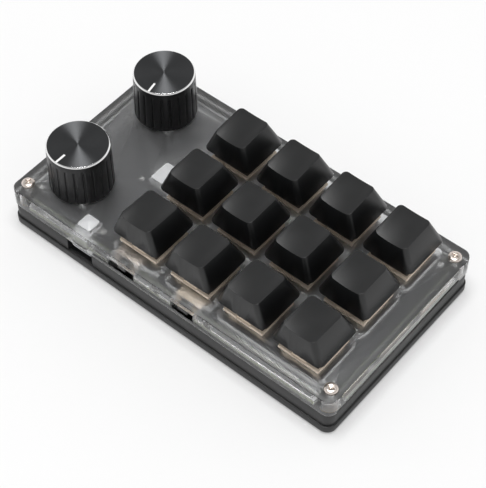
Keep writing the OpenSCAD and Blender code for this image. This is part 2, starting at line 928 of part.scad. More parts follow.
// Turned cap: fluted skirt, smooth band, bright bevelled ring and flat face with a filled pointer
module knob(k) {
    foot_r = knob_foot_d / 2;
    neck_r = knob_neck_d / 2;
    face_r = knob_face_d / 2;
    lean = atan((foot_r - neck_r) / knob_h);
    color("#1f2021")
        difference() {
            rotate_extrude($fn = 96)
                polygon([[0, knob_z], [foot_r - 0.2, knob_z], [foot_r, knob_z + 0.2],
                         [neck_r, knob_top - ring_h], [face_r, knob_top], [0, knob_top]]);
            translate([0, 0, knob_z - 1])
                cylinder(r = neck_r - knob_wall, h = hub_top + seat - knob_z + 1);
            for (i = [0 : groove_count - 1])
                rotate([0, 0, (i + 0.5) * 360 / groove_count])
                    translate([foot_r, 0, knob_z])
                        rotate([0, -lean, 0])
                            translate([-groove_deep, 0, -1])
                                linear_extrude(knob_h - ring_h - collar_band + 1)
                                    polygon([[0, -groove_w / 4], [1, -groove_w],
                                             [1, groove_w], [0, groove_w / 4]]);
            rotate([0, 0, 90 + pointer_turn[k - 1]])
                translate([face_r - pointer_l, -pointer_w / 2, knob_top - pointer_deep])
                    cube([pointer_l + 2, pointer_w, 1]);
        }
}

// Plastic hub pressed into the cap, with the D bore that grips the shaft
module knob_insert() {
    r = knob_neck_d / 2 - knob_wall - seat;
    skirt_z = encoder_top + knob_push + 2 * slip;
    color("#3a3a3a")
        difference() {
            translate([0, 0, skirt_z])
                cylinder(r = r, h = hub_top - skirt_z);
            translate([0, 0, skirt_z - 1])
                cylinder(r = r - 1.5, h = hub_z - skirt_z + 1);
            difference() {
                translate([0, 0, skirt_z])
                    cylinder(d = shaft_d + 2 * run, h = hub_top - skirt_z - 0.4);
                translate([shaft_flat - shaft_d / 2 + seat, -shaft_d, skirt_z - 1])
                    cube([shaft_d, 2 * shaft_d, knob_h]);
            }
        }
}

// ---------------------------------------------------------------- the assembly

bottom_plate();
frame();
cover();
rubber_feet();
cover_screws();
plate_screws();
threaded_inserts();
circuit_board();
controller_module();
battery();
indicator_leds();
small_light_pipe();
large_light_pipe();
socket_shell();
socket_tongue();
power_switch_body();
power_slider();
mode_switch_body();
mode_slider();
lower_housings();
upper_housings();
switch_contacts();
for (r = [1 : ROWS])
    springs_row(r);
for (r = [1 : ROWS], c = [1 : COLS])
    translate([key_x(c), key_y(r), deck]) {
        stem();
        keycap(r);
    }
for (k = [1 : KNOBS])
    translate([knob_x, knob_y(k), 0]) {
        encoder_body();
        encoder_plunger();
        encoder_shaft();
        knob(k);
        knob_insert();
    }
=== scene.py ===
# Looks of a macro keypad with knobs: a black casing under a clear frosted cover, twelve sculpted keycaps and two
# grooved metal knobs. The frame is in metres, +X along the keypad to the knobs, +Y to the ports, +Z up.
import math

import bmesh
import bpy
from mathutils import Matrix, Vector


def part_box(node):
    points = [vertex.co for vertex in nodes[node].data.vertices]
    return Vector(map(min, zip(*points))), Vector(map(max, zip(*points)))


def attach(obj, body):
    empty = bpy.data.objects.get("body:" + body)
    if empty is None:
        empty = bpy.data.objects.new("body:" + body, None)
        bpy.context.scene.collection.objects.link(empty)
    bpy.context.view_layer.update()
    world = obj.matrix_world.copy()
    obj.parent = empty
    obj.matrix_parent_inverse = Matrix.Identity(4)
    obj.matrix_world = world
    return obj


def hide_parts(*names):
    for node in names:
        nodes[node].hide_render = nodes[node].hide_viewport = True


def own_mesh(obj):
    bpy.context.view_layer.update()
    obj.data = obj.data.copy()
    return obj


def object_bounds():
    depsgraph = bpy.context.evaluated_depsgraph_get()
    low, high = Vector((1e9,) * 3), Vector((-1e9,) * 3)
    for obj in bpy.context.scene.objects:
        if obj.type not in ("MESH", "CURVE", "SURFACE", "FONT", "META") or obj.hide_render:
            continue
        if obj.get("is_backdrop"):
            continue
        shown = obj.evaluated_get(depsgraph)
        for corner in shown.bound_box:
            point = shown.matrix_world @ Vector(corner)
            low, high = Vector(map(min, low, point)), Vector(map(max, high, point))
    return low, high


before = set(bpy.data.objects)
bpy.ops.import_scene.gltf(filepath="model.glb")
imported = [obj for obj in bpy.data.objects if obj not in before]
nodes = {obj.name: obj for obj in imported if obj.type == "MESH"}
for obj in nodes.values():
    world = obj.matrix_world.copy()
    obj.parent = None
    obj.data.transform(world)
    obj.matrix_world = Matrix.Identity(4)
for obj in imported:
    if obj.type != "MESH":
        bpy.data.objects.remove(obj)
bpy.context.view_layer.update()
MM = 0.001

# ---------------------------------------------------------------- camera
# The photograph's own viewpoint: behind and above the keypad, on its left, looking down at the port edge. Its place and
# its look were fitted to the casing's corners, the keycaps and the knobs.
CAMERA_PLACE = Vector((-191.13, 228.20, 382.46)) * MM
CAMERA_LOOK = Vector((0.3945, -0.4763, -0.7859))
SENSOR_WIDTH = 36.0
LENS = 115.14
camera_data = bpy.data.cameras.new("camera")
camera_data.sensor_fit = "HORIZONTAL"
camera_data.sensor_width = SENSOR_WIDTH
camera_data.lens = LENS
camera_data.clip_start = 10 * MM
camera = bpy.data.objects.new("camera", camera_data)
camera.location = CAMERA_PLACE
camera.rotation_euler = CAMERA_LOOK.to_track_quat("-Z", "Y").to_euler()
bpy.context.scene.collection.objects.link(camera)
bpy.context.scene.camera = camera
bpy.context.scene.view_settings.view_transform = "Standard"

# ---------------------------------------------------------------- studio
# A white table in a bright room that is dimmer overhead, and one square softbox high above the keypad. The camera, and
# rays that glance off or pass through the keypad, see the table nearer to white, and it keeps the keypad's shadow.
TABLE_HALF = 4.0
TABLE_TINT = (0.80, 0.83)
TABLE_GLOW = 0.25
SOFTBOX_PLACE = Vector((0.0, 0.02, 0.9))
SOFTBOX_AIM = Vector((0.0, 0.0, 0.01))
SOFTBOX_SIDE = 0.4
SOFTBOX_POWER = 5.9
# the room's level falls from the first value to the second while a ray's rise goes from the first height to the second
ROOM_LEVELS = (0.9, 0.37)
ROOM_HEIGHTS = (0.3, 0.85)
WHITE = (1.0, 1.0, 1.0, 1.0)


def new_tree(name):
    """A new material and its node tree, still empty."""
    material = bpy.data.materials.new(name)
    material.use_nodes = True
    tree = material.node_tree
    tree.nodes.clear()
    return material, tree


def add_node(tree, kind, settings=None, **sockets):
    """A new node: settings are its properties, and each socket gets a value or another node's output.

    A socket goes by its name, with _ for a space, or by _ and its number where several sockets share a name.
    """
    node = tree.nodes.new(kind)
    for name, value in (settings or {}).items():
        setattr(node, name, value)
    for name, value in sockets.items():
        socket = node.inputs[int(name[1:]) if name[1:].isdigit() else name.replace("_", " ")]
        if isinstance(value, bpy.types.NodeSocket):
            tree.links.new(value, socket)
        else:
            socket.default_value = value
    return node


def table_material():
    """White laminate with a faint cloud in it, and a glow that only the rays named above see."""
    material, tree = new_tree("white_table")
    rays = add_node(tree, "ShaderNodeLightPath").outputs
    seen = rays["Is Camera Ray"]
    for kind in ("Is Glossy Ray", "Is Transmission Ray"):
        seen = add_node(tree, "ShaderNodeMath", {"operation": "MAXIMUM"}, _0=seen, _1=rays[kind]).outputs[0]
    share = add_node(tree, "ShaderNodeMath", {"operation": "MULTIPLY"}, _0=seen, _1=TABLE_GLOW)
    cloud = add_node(tree, "ShaderNodeTexNoise", Scale=9.0, Detail=3.0)
    tint = add_node(tree, "ShaderNodeMapRange", Value=cloud.outputs["Fac"], To_Min=TABLE_TINT[0], To_Max=TABLE_TINT[1])
    paint = add_node(tree, "ShaderNodeBsdfDiffuse", Color=tint.outputs[0])
    glow = add_node(tree, "ShaderNodeEmission", Color=WHITE, Strength=1.0)
    mix = add_node(tree, "ShaderNodeMixShader", _0=share.outputs[0], _1=paint.outputs[0], _2=glow.outputs[0])
    add_node(tree, "ShaderNodeOutputMaterial", Surface=mix.outputs[0])
    return material


def mesh_object(name, bm, *materials, sharp=None):
    """Turns a finished bmesh into an object at the origin, shaded smooth up to the sharp angle if one is given."""
    for face in bm.faces:
        face.smooth = sharp is not None
    mesh = bpy.data.meshes.new(name)
    bm.to_mesh(mesh)
    bm.free()
    if sharp is not None:
        mesh.set_sharp_from_angle(angle=math.radians(sharp))
    for material in materials:
        mesh.materials.append(material)
    piece = bpy.data.objects.new(name, mesh)
    bpy.context.scene.collection.objects.link(piece)
    return piece


bm = bmesh.new()
bmesh.ops.create_grid(bm, x_segments=1, y_segments=1, size=TABLE_HALF)
mesh_object("table_top", bm, table_material())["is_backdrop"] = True

light = bpy.data.lights.new("softbox_overhead", "AREA")
light.size = SOFTBOX_SIDE
light.energy = SOFTBOX_POWER
softbox = bpy.data.objects.new("softbox_overhead", light)
softbox.location = SOFTBOX_PLACE
softbox.rotation_euler = (SOFTBOX_AIM - SOFTBOX_PLACE).to_track_quat("-Z", "Y").to_euler()
softbox.visible_camera = False
bpy.context.scene.collection.objects.link(softbox)

world = bpy.data.worlds.new("pale_room")
world.use_nodes = True
tree = world.node_tree
tree.nodes.clear()
ray = add_node(tree, "ShaderNodeTexCoord").outputs["Generated"]
rise = add_node(tree, "ShaderNodeSeparateXYZ", Vector=ray).outputs["Z"]
level = add_node(tree, "ShaderNodeMapRange", {"interpolation_type": "SMOOTHSTEP"}, Value=rise,
                 From_Min=ROOM_HEIGHTS[0], From_Max=ROOM_HEIGHTS[1], To_Min=ROOM_LEVELS[0], To_Max=ROOM_LEVELS[1])
seen = add_node(tree, "ShaderNodeLightPath").outputs["Is Camera Ray"]
level = add_node(tree, "ShaderNodeMath", {"operation": "MAXIMUM"}, _0=level.outputs[0], _1=seen)
room = add_node(tree, "ShaderNodeBackground", Color=WHITE, Strength=level.outputs[0])
add_node(tree, "ShaderNodeOutputWorld", Surface=room.outputs[0])
bpy.context.scene.world = world

# ---------------------------------------------------------------- casing
# A black plate below and a black frame above it, machined with a fine matt face and lightly broken edges. Four
# countersunk zinc screws hold the plate from below into the frame, whose brass inserts take the cover's screws, and it
# stands on four rubber feet in shallow recesses.
CASING_COLOUR = (0.009, 0.009, 0.0095)
RUBBER_COLOUR = (0.02, 0.02, 0.02)
ZINC_COLOUR = (0.6, 0.6, 0.62)
BRASS_COLOUR = (0.62, 0.45, 0.2)
PLATE_EDGE = 0.25
FRAME_EDGE = 0.15
FOOT_EDGE = 0.2
PLATE_SCREW_EDGE = 0.06
# an edge that turns by more degrees than this is sharp
SHARP = 30.0
# corners of a CAD mesh that lie this near, in millimetres, are one, and so are faces that differ by this few degrees
SAME_CORNER = 0.002
SAME_PLANE = 0.5


def grain_group():
    """A node group that finishes share: a fine height and a slow mottle, from 0 to 1, at sizes in millimetres."""
    tree = bpy.data.node_groups.new("moulded_grain", "ShaderNodeTree")
    for size, usual in (("Grain Size", 0.1), ("Mottle Size", 8.0)):
        tree.interface.new_socket(size, in_out="INPUT", socket_type="NodeSocketFloat").default_value = usual
    for output in ("Height", "Mottle"):
        tree.interface.new_socket(output, in_out="OUTPUT", socket_type="NodeSocketFloat")
    given, result = tree.nodes.new("NodeGroupInput"), tree.nodes.new("NodeGroupOutput")
    place = add_node(tree, "ShaderNodeTexCoord").outputs["Object"]
    for size, output, detail in (("Grain Size", "Height", 2.0), ("Mottle Size", "Mottle", 3.0)):
        scale = add_node(tree, "ShaderNodeMath", {"operation": "DIVIDE"}, _0=1 / MM, _1=given.outputs[size])
        noise = add_node(tree, "ShaderNodeTexNoise", Vector=place, Scale=scale.outputs[0], Detail=detail,
                         Roughness=0.55)
        tree.links.new(noise.outputs["Fac"], result.inputs[output])
    return tree


GRAIN = grain_group()


def blend_colours(tree, share, first, second):
    """The colour that lies at that share of the way between two colours; a Mix node keeps them in sockets 6 and 7."""
    return add_node(tree, "ShaderNodeMix", {"data_type": "RGBA"}, Factor=share, _6=first, _7=second).outputs[2]


def finish_material(name, colour, rough, grain=0.1, depth=0.02, mottle=8.0, shade=0.12, spread=0.08, **sockets):
    """A solid finish: colour that drifts a little, roughness that drifts with it, and grain raised by a bump.

    grain and mottle are sizes and depth is a height, in millimetres; shade and spread are how far colour and
    roughness drift; the other sockets are constants of the shader.
    """
    material, tree = new_tree(name)
    bsdf = add_node(tree, "ShaderNodeBsdfPrincipled", **sockets)
    effect = add_node(tree, "ShaderNodeGroup", {"node_tree": GRAIN}, Grain_Size=grain, Mottle_Size=mottle).outputs
    deep = tuple(part * (1 - shade) for part in colour) + (1.0,)
    pale = tuple(min(1.0, part * (1 + shade)) for part in colour) + (1.0,)
    tree.links.new(blend_colours(tree, effect["Mottle"], deep, pale), bsdf.inputs["Base Color"])
    drift = add_node(tree, "ShaderNodeMapRange", Value=effect["Mottle"], To_Min=rough - spread, To_Max=rough + spread)
    tree.links.new(drift.outputs[0], bsdf.inputs["Roughness"])
    bump = add_node(tree, "ShaderNodeBump", Height=effect["Height"], Strength=0.6, Distance=depth * MM)
    tree.links.new(bump.outputs[0], bsdf.inputs["Normal"])
    add_node(tree, "ShaderNodeOutputMaterial", Surface=bsdf.outputs[0])
    return material


def paint_node(node, material):
    """Gives a CAD node its finish and its material slot's name."""
    nodes[node].data.materials.clear()
    nodes[node].data.materials.append(material)


def sharp_edges(bm, angle):
    """The edges between two faces that turn by more than that angle, in degrees."""
    return [edge for edge in bm.edges if len(edge.link_faces) == 2 and edge.calc_face_angle(0) > math.radians(angle)]


def break_edges(bm, edges, width, segments, clamp=False):
    """Rounds those edges by that width, as a file or a mould breaks them."""
    bmesh.ops.bevel(bm, geom=edges, offset=width, offset_type="OFFSET", affect="EDGES", segments=segments, profile=0.5,
                    material=-1, clamp_overlap=clamp)


def edged_copy(node, body, material, width, segments=2):
    """A copy of a CAD node with its sharp edges broken by that width, in millimetres, which stands for the node."""
    bm = bmesh.new()
    bm.from_mesh(nodes[node].data)
    bmesh.ops.remove_doubles(bm, verts=bm.verts, dist=SAME_CORNER * MM)
    bmesh.ops.dissolve_limit(bm, angle_limit=math.radians(SAME_PLANE), verts=bm.verts, edges=bm.edges)
    break_edges(bm, sharp_edges(bm, SHARP), width * MM, segments, clamp=True)
    piece = mesh_object(node + "_dressed", bm, material, sharp=SHARP)
    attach(piece, body)
    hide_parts(node)
    return piece


CASING_BLACK = finish_material("casing_black", CASING_COLOUR, 0.46, grain=0.25, mottle=14.0)
edged_copy("bottom_plate", "base", CASING_BLACK, PLATE_EDGE)
edged_copy("frame", "base", CASING_BLACK, FRAME_EDGE)
FOOT_RUBBER = finish_material("foot_rubber", RUBBER_COLOUR, 0.75, grain=0.4, depth=0.04)
edged_copy("rubber_feet", "base", FOOT_RUBBER, FOOT_EDGE)
ZINC = finish_material("zinc_plate", ZINC_COLOUR, 0.3, grain=0.15, depth=0.01, Metallic=1.0)
edged_copy("plate_screws", "base", ZINC, PLATE_SCREW_EDGE)
TURNED_BRASS = finish_material("turned_brass", BRASS_COLOUR, 0.35, grain=0.2, depth=0.01, Metallic=1.0)
paint_node("threaded_inserts", TURNED_BRASS)

# ---------------------------------------------------------------- electronics
# A circuit board with a near-black solder mask and yellow-green cut edges. The controller's stamped can hangs under it,
# a foil battery lies on the bottom plate, and white light chips sit on it under the light pipes. Four solder spots show
# through the cover.
MASK_COLOUR = (0.013, 0.0135, 0.016)
LAMINATE_COLOUR = (0.3, 0.34, 0.16)
SOLDER_COLOUR = (0.5, 0.5, 0.49)
CAN_COLOUR = (0.55, 0.56, 0.57)
FOIL_COLOUR = (0.6, 0.61, 0.63)
CHIP_COLOUR = (0.85, 0.84, 0.78)
SPOT_PLACES = ((56.4, 27.0), (-56.3, -27.1), (29.8, 27.8), (35.2, 4.8))
SPOT_RADIUS = 0.95
SPOT_HEIGHT = 0.5
SPOT_EDGE = 0.2
SPOT_SIDES = 24
BATTERY_EDGE = 0.8


def board_material():
    """Solder mask on both faces, with the bare laminate at the cut edges."""
    material = finish_material("board_mask", MASK_COLOUR, 0.4, grain=0.5, mottle=3.0, shade=0.35)
    tree = material.node_tree
    bsdf = next(node for node in tree.nodes if node.type == "BSDF_PRINCIPLED")
    mask = bsdf.inputs["Base Color"].links[0].from_socket
    normal = add_node(tree, "ShaderNodeNewGeometry").outputs["Normal"]
    facing = add_node(tree, "ShaderNodeSeparateXYZ", Vector=normal).outputs["Z"]
    flat = add_node(tree, "ShaderNodeMath", {"operation": "ABSOLUTE"}, _0=facing).outputs[0]
    tree.links.new(blend_colours(tree, flat, LAMINATE_COLOUR + (1.0,), mask), bsdf.inputs["Base Color"])
    return material


def in_metres(bm, place):
    """Brings a piece made in millimetres round the origin to its place in the frame."""
    bmesh.ops.scale(bm, verts=bm.verts, vec=(MM, MM, MM))
    bmesh.ops.translate(bm, verts=bm.verts, vec=place)
    return bm


def solder_spots(board_top):
    """Low round heads of solder on the board, in millimetres, with their upper edges melted round."""
    bm = bmesh.new()
    middle = board_top + SPOT_HEIGHT / 2
    for x, y in SPOT_PLACES:
        head = bmesh.ops.create_cone(bm, cap_ends=True, segments=SPOT_SIDES, radius1=SPOT_RADIUS, radius2=SPOT_RADIUS,
                                     depth=SPOT_HEIGHT)["verts"]
        bmesh.ops.translate(bm, verts=head, vec=(x, y, middle))
    break_edges(bm, [edge for edge in bm.edges if all(vert.co.z > middle for vert in edge.verts)], SPOT_EDGE, 3)
    return bm


paint_node("circuit_board", board_material())
SOLDER = finish_material("solder", SOLDER_COLOUR, 0.45, grain=0.3, Metallic=0.6)
spots = mesh_object("board_solder_spots", in_metres(solder_spots(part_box("circuit_board")[1].z / MM), (0, 0, 0)), SOLDER)
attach(spots, "base")
CAN_STEEL = finish_material("can_steel", CAN_COLOUR, 0.35, Metallic=1.0)
paint_node("controller_module", CAN_STEEL)
BATTERY_FOIL = finish_material("battery_foil", FOIL_COLOUR, 0.45, grain=1.5, depth=0.1, Metallic=0.8)
edged_copy("battery", "base", BATTERY_FOIL, BATTERY_EDGE, segments=4)
CHIP_WHITE = finish_material("chip_white", CHIP_COLOUR, 0.4)
paint_node("indicator_leds", CHIP_WHITE)

# ---------------------------------------------------------------- cover
# One block of clear acrylic, frosted on top and polished round its sides; pockets milled from below take the switches
# and the board, and its underside stays as sawn. Two milky light pipes are pressed into it.
ACRYLIC_COLOUR = (0.97, 0.975, 0.98, 1.0)
ACRYLIC_IOR = 1.49
MILK_COLOUR = (0.84, 0.85, 0.86)
COVER_CORNER = 3.0
COVER_EDGE = 0.12
PIPE_EDGE = 0.15
# a normal with this part along Z is level, and heights this near, in millimetres, are the same
LEVEL = 0.95
SAME_HEIGHT = 0.01
# how far the cover's polished edge and walls reach in from its outside, in millimetres
EDGE_REACH = 0.2
WALL_REACH = 0.3


def acrylic_material(name, clear, rough, spread, grain, depth):
    """Clear acrylic with one kind of surface; clear is the share of light that isn't scattered."""
    material, tree = new_tree(name)
    bsdf = add_node(tree, "ShaderNodeBsdfPrincipled", Base_Color=ACRYLIC_COLOUR, Transmission_Weight=clear,
                    IOR=ACRYLIC_IOR)
    effect = add_node(tree, "ShaderNodeGroup", {"node_tree": GRAIN}, Grain_Size=grain, Mottle_Size=12.0).outputs
    drift = add_node(tree, "ShaderNodeMapRange", Value=effect["Mottle"], To_Min=rough - spread, To_Max=rough + spread)
    tree.links.new(drift.outputs[0], bsdf.inputs["Roughness"])
    bump = add_node(tree, "ShaderNodeBump", Height=effect["Height"], Strength=0.5, Distance=depth * MM)
    tree.links.new(bump.outputs[0], bsdf.inputs["Normal"])
    add_node(tree, "ShaderNodeOutputMaterial", Surface=bsdf.outputs[0])
    return material


POLISHED = acrylic_material("polished_acrylic", clear=1.0, rough=0.04, spread=0.01, grain=2.0, depth=0.004)
FROSTED = acrylic_material("frosted_acrylic", clear=0.96, rough=0.38, spread=0.03, grain=0.15, depth=0.01)
MILLED = acrylic_material("milled_acrylic", clear=0.8, rough=0.5, spread=0.1, grain=0.3, depth=0.04)
SAWN = acrylic_material("sawn_acrylic", clear=0.9, rough=0.4, spread=0.05, grain=0.2, depth=0.03)
SURFACES = (POLISHED, FROSTED, MILLED, SAWN)
cover = edged_copy("cover", "base", POLISHED, COVER_EDGE)
for surface in SURFACES[1:]:
    cover.data.materials.append(surface)
low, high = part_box("cover")
corner_x, corner_y = high.x - COVER_CORNER * MM, high.y - COVER_CORNER * MM
for face in cover.data.polygons:
    past = Vector((max(abs(face.center.x) - corner_x, 0), max(abs(face.center.y) - corner_y, 0)))
    inside = past.length < (COVER_CORNER - WALL_REACH) * MM and face.center.z < high.z - EDGE_REACH * MM
    if face.normal.z > LEVEL and face.center.z > high.z - SAME_HEIGHT * MM:
        face.material_index = SURFACES.index(FROSTED)
    elif abs(face.normal.z) < LEVEL and inside:
        face.material_index = SURFACES.index(MILLED)
    elif face.normal.z < -LEVEL and face.center.z < low.z + SAME_HEIGHT * MM:
        face.material_index = SURFACES.index(SAWN)
PIPE_MILK = finish_material("pipe_milk", MILK_COLOUR, 0.3, shade=0.06, Transmission_Weight=0.35, IOR=ACRYLIC_IOR)
for pipe in ("small_light_pipe", "large_light_pipe"):
    edged_copy(pipe, "base", PIPE_MILK, PIPE_EDGE)

# ---------------------------------------------------------------- ports
# A stamped steel socket with its black tongue hangs under the board, and two slide switches stand in slots of the
# cover's back rim, one in a stamped and one in a moulded body, each with a black slider.
SOCKET_COLOUR = (0.62, 0.63, 0.65)
MOULDING_COLOUR = (0.012, 0.012, 0.012)
GREY_BODY_COLOUR = (0.6, 0.52, 0.45)
CREAM_BODY_COLOUR = (0.9, 0.76, 0.6)
SOCKET_EDGE = 0.08
TONGUE_EDGE = 0.06
SLIDE_BODY_EDGE = 0.1
SLIDER_EDGE = 0.15
SOCKET_STEEL = finish_material("socket_steel", SOCKET_COLOUR, 0.22, Metallic=1.0)
edged_copy("socket_shell", "base", SOCKET_STEEL, SOCKET_EDGE)
BLACK_MOULDING = finish_material("black_moulding", MOULDING_COLOUR, 0.4)
edged_copy("socket_tongue", "base", BLACK_MOULDING, TONGUE_EDGE)
SLIDE_GREY = finish_material("slide_grey", GREY_BODY_COLOUR, 0.45, Metallic=0.35)
edged_copy("power_switch_body", "base", SLIDE_GREY, SLIDE_BODY_EDGE)
SLIDE_CREAM = finish_material("slide_cream", CREAM_BODY_COLOUR, 0.4, shade=0.05)
edged_copy("mode_switch_body", "base", SLIDE_CREAM, SLIDE_BODY_EDGE)
for slide in ("power", "mode"):
    edged_copy(f"{slide}_slider", f"{slide}_slide", BLACK_MOULDING, SLIDER_EDGE)

# ---------------------------------------------------------------- key switches
# Cream lower housings whose collars rest on the cover, smoky upper housings that taper under the caps, gold contacts,
# and brown stems with a cross for the cap. A steel coil spring stands under each stem, and its foot stays where it is
# while the key goes down.
CREAM_COLOUR = (0.88, 0.75, 0.61)
SMOKE_COLOUR = (0.06, 0.048, 0.038)
GOLD_COLOUR = (0.75, 0.55, 0.22)
SPRING_COLOUR = (0.55, 0.56, 0.58)
STEM_COLOUR = (0.2, 0.05, 0.035)
COLLAR_EDGE = 0.1
HOUSING_EDGE = 0.25
ROWS = (1, 2, 3)
COLUMNS = (1, 2, 3, 4)
SPRING_WIRE = 0.4
WIRE_SIDES = 8
SPRING_RADIUS = 2.0
SPRING_TURNS = 7
TURN_STEPS = 20


def coil_spring(foot, top):
    """A coil of wire round the origin, in millimetres: a small ring spun upwards, with its two ends filled."""
    bm = bmesh.new()
    bmesh.ops.create_circle(bm, cap_ends=False, segments=WIRE_SIDES, radius=SPRING_WIRE / 2)
    bmesh.ops.rotate(bm, verts=bm.verts, matrix=Matrix.Rotation(math.radians(90), 3, "X"))
    bmesh.ops.translate(bm, verts=bm.verts, vec=(SPRING_RADIUS, 0, foot + SPRING_WIRE / 2))
    steps = SPRING_TURNS * TURN_STEPS
    bmesh.ops.spin(bm, geom=bm.verts[:] + bm.edges[:], cent=(0, 0, 0), axis=(0, 0, 1),
                   dvec=(0, 0, (top - foot - SPRING_WIRE) / steps), angle=math.radians(360 * SPRING_TURNS),
                   steps=steps, use_merge=False)
    bmesh.ops.holes_fill(bm, edges=[edge for edge in bm.edges if edge.is_boundary], sides=0)
    bmesh.ops.recalc_face_normals(bm, faces=bm.faces)
    return bm


def middle_of(node):
    """Where the middle of a node's box lies, seen from above."""
    low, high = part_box(node)
    return (low.x + high.x) / 2, (low.y + high.y) / 2


SWITCH_CREAM = finish_material("switch_cream", CREAM_COLOUR, 0.35, grain=0.3, depth=0.015, shade=0.06)
edged_copy("lower_housings", "base", SWITCH_CREAM, COLLAR_EDGE)
SWITCH_SMOKE = finish_material("switch_smoke", SMOKE_COLOUR, 0.3)
edged_copy("upper_housings", "base", SWITCH_SMOKE, HOUSING_EDGE)
CONTACT_GOLD = finish_material("contact_gold", GOLD_COLOUR, 0.3, Metallic=1.0)
paint_node("switch_contacts", CONTACT_GOLD)
SPRING_STEEL = finish_material("spring_steel", SPRING_COLOUR, 0.25, Metallic=1.0)
STEM_BROWN = finish_material("stem_brown", STEM_COLOUR, 0.35)
for row in ROWS:
    low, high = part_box(f"springs_row_{row}")
    for column in COLUMNS:
        stem = f"stem_{row}_{column}"
        paint_node(stem, STEM_BROWN)
        place = (middle_of(stem)[0], middle_of(f"springs_row_{row}")[1], 0)
        coil = mesh_object(f"spring_{row}_{column}", in_metres(coil_spring(low.z / MM, high.z / MM), place),
                           SPRING_STEEL, sharp=180.0)
        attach(coil, "base")
        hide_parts(f"springs_row_{row}")
        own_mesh(coil)

# ---------------------------------------------------------------- keycaps
# Twelve hollow caps moulded in matt black plastic, with sloping sides, a rounded top edge and a dish from back to
# front. Each row has its own profile, and a round post under the top takes the stem's cross.
CAP_COLOUR = (0.005, 0.0053, 0.0056)
CAP_HALF = 9.05
CAP_TOP_HALF = 5.65
# how far the upright edges are rounded, in percent of the face beside them
CAP_CORNER = 12.4
CAP_EDGE = 0.38
CAP_WALL = 1.1
CAP_ROOF = 1.4
CAP_LIP = 0.15
CAP_DISH = 0.6
# the dish is cut from back to front at these many places, over this share of the top's width
DISH_CUTS = 10
DISH_SHARE = 0.6
# edges of the rim have a face that looks up by more than this, and edges of the lip turn by more degrees than this
RIM_LEVEL = 0.8
LIP_SHARP = 50.0
POST_RADIUS = 2.75
POST_SIDES = 40
POST_FOOT = 6.8
POST_BURIED = 0.3
CROSS_LENGTH = 4.2
CROSS_WIDTH = 1.4
CROSS_DEPTH = 3.8
# by row, back to front: depth of the top behind the middle and its height above the cover, then before the middle
CAP_ROWS = {1: (8.1, 14.3, 5.4, 13.7), 2: (7.5, 13.9, 5.3, 14.05), 3: (7.5, 13.65, 5.3, 14.5)}


def upright_block(inset, foot, back, back_z, front, front_z):
    """A block from the skirt to the top, its upright edges rounded and its underside open, as part of a cap."""
    bm = bmesh.new()
    bmesh.ops.create_cube(bm, size=2.0)
    for vert in bm.verts:
        upper, rear = vert.co.z > 0, vert.co.y > 0
        reach = (back if rear else front) if upper else CAP_HALF
        vert.co.x *= (CAP_TOP_HALF if upper else CAP_HALF) - inset
        vert.co.y *= reach - inset
        vert.co.z = (back_z if rear else front_z) if upper else foot
    upright = [edge for edge in bm.edges if abs(edge.verts[0].co.z - edge.verts[1].co.z) > CAP_WALL]
    bmesh.ops.bevel(bm, geom=upright, offset=CAP_CORNER, offset_type="PERCENT", affect="EDGES", segments=8,
                    profile=0.5, material=-1)
    under = [face for face in bm.faces if all(vert.co.z < foot + SAME_HEIGHT for vert in face.verts)]
    bmesh.ops.delete(bm, geom=under, context="FACES")
    return bm


def cut_across(bm, axis, places):
    """Cuts the whole mesh by planes across that axis."""
    normal = Vector([1.0 if letter == axis else 0.0 for letter in "xyz"])
    for place in places:
        bmesh.ops.bisect_plane(bm, geom=bm.verts[:] + bm.edges[:] + bm.faces[:], dist=1e-5,
                               plane_co=normal * place, plane_no=normal)


def joined(*parts):
    """Several bmeshes in one."""
    whole = bmesh.new()
    for part in parts:
        spare = bpy.data.meshes.new("spare")
        part.to_mesh(spare)
        part.free()
        whole.from_mesh(spare)
        bpy.data.meshes.remove(spare)
    return whole


def cap_shell(row, skirt):
    """One hollow cap round the origin, in millimetres above the cover, and the height of the ceiling at its middle.

    Two blocks are joined at the skirt, the top is dished, and the rim and the lip get their broken edges.
    """
    back, back_z, front, front_z = CAP_ROWS[row]
    sunk = CAP_DISH + CAP_ROOF

    def top_at(y):
        return front_z + (back_z - front_z) * (y + front) / (back + front)

    bm = joined(upright_block(0, skirt, back, back_z, front, front_z),
                upright_block(CAP_WALL, skirt, back, back_z - sunk, front, front_z - sunk))
    cut_across(bm, "x", [CAP_TOP_HALF * DISH_SHARE * (2 * cut / (DISH_CUTS - 1) - 1) for cut in range(DISH_CUTS)])
    bmesh.ops.bridge_loops(bm, edges=[edge for edge in bm.edges if edge.is_boundary])
    bmesh.ops.recalc_face_normals(bm, faces=bm.faces)
    for vert in bm.verts:
        top = top_at(vert.co.y)
        if vert.co.z > top - CAP_DISH:
            drop = CAP_DISH * max(0.0, 1 - (vert.co.x / CAP_TOP_HALF) ** 2)
            reach = back if vert.co.y > 0 else front
            vert.co.z -= drop
            vert.co.y += math.copysign(drop * (CAP_HALF - reach) / (top - skirt), vert.co.y)
    rim = [edge for edge in sharp_edges(bm, SHARP) if max(face.normal.z for face in edge.link_faces) > RIM_LEVEL]
    break_edges(bm, rim, CAP_EDGE, 4, clamp=True)
    lip = [edge for edge in sharp_edges(bm, LIP_SHARP) if all(vert.co.z < skirt + SAME_HEIGHT for vert in edge.verts)]
    break_edges(bm, lip, CAP_LIP, 2)
    return bm, top_at(0.0) - sunk


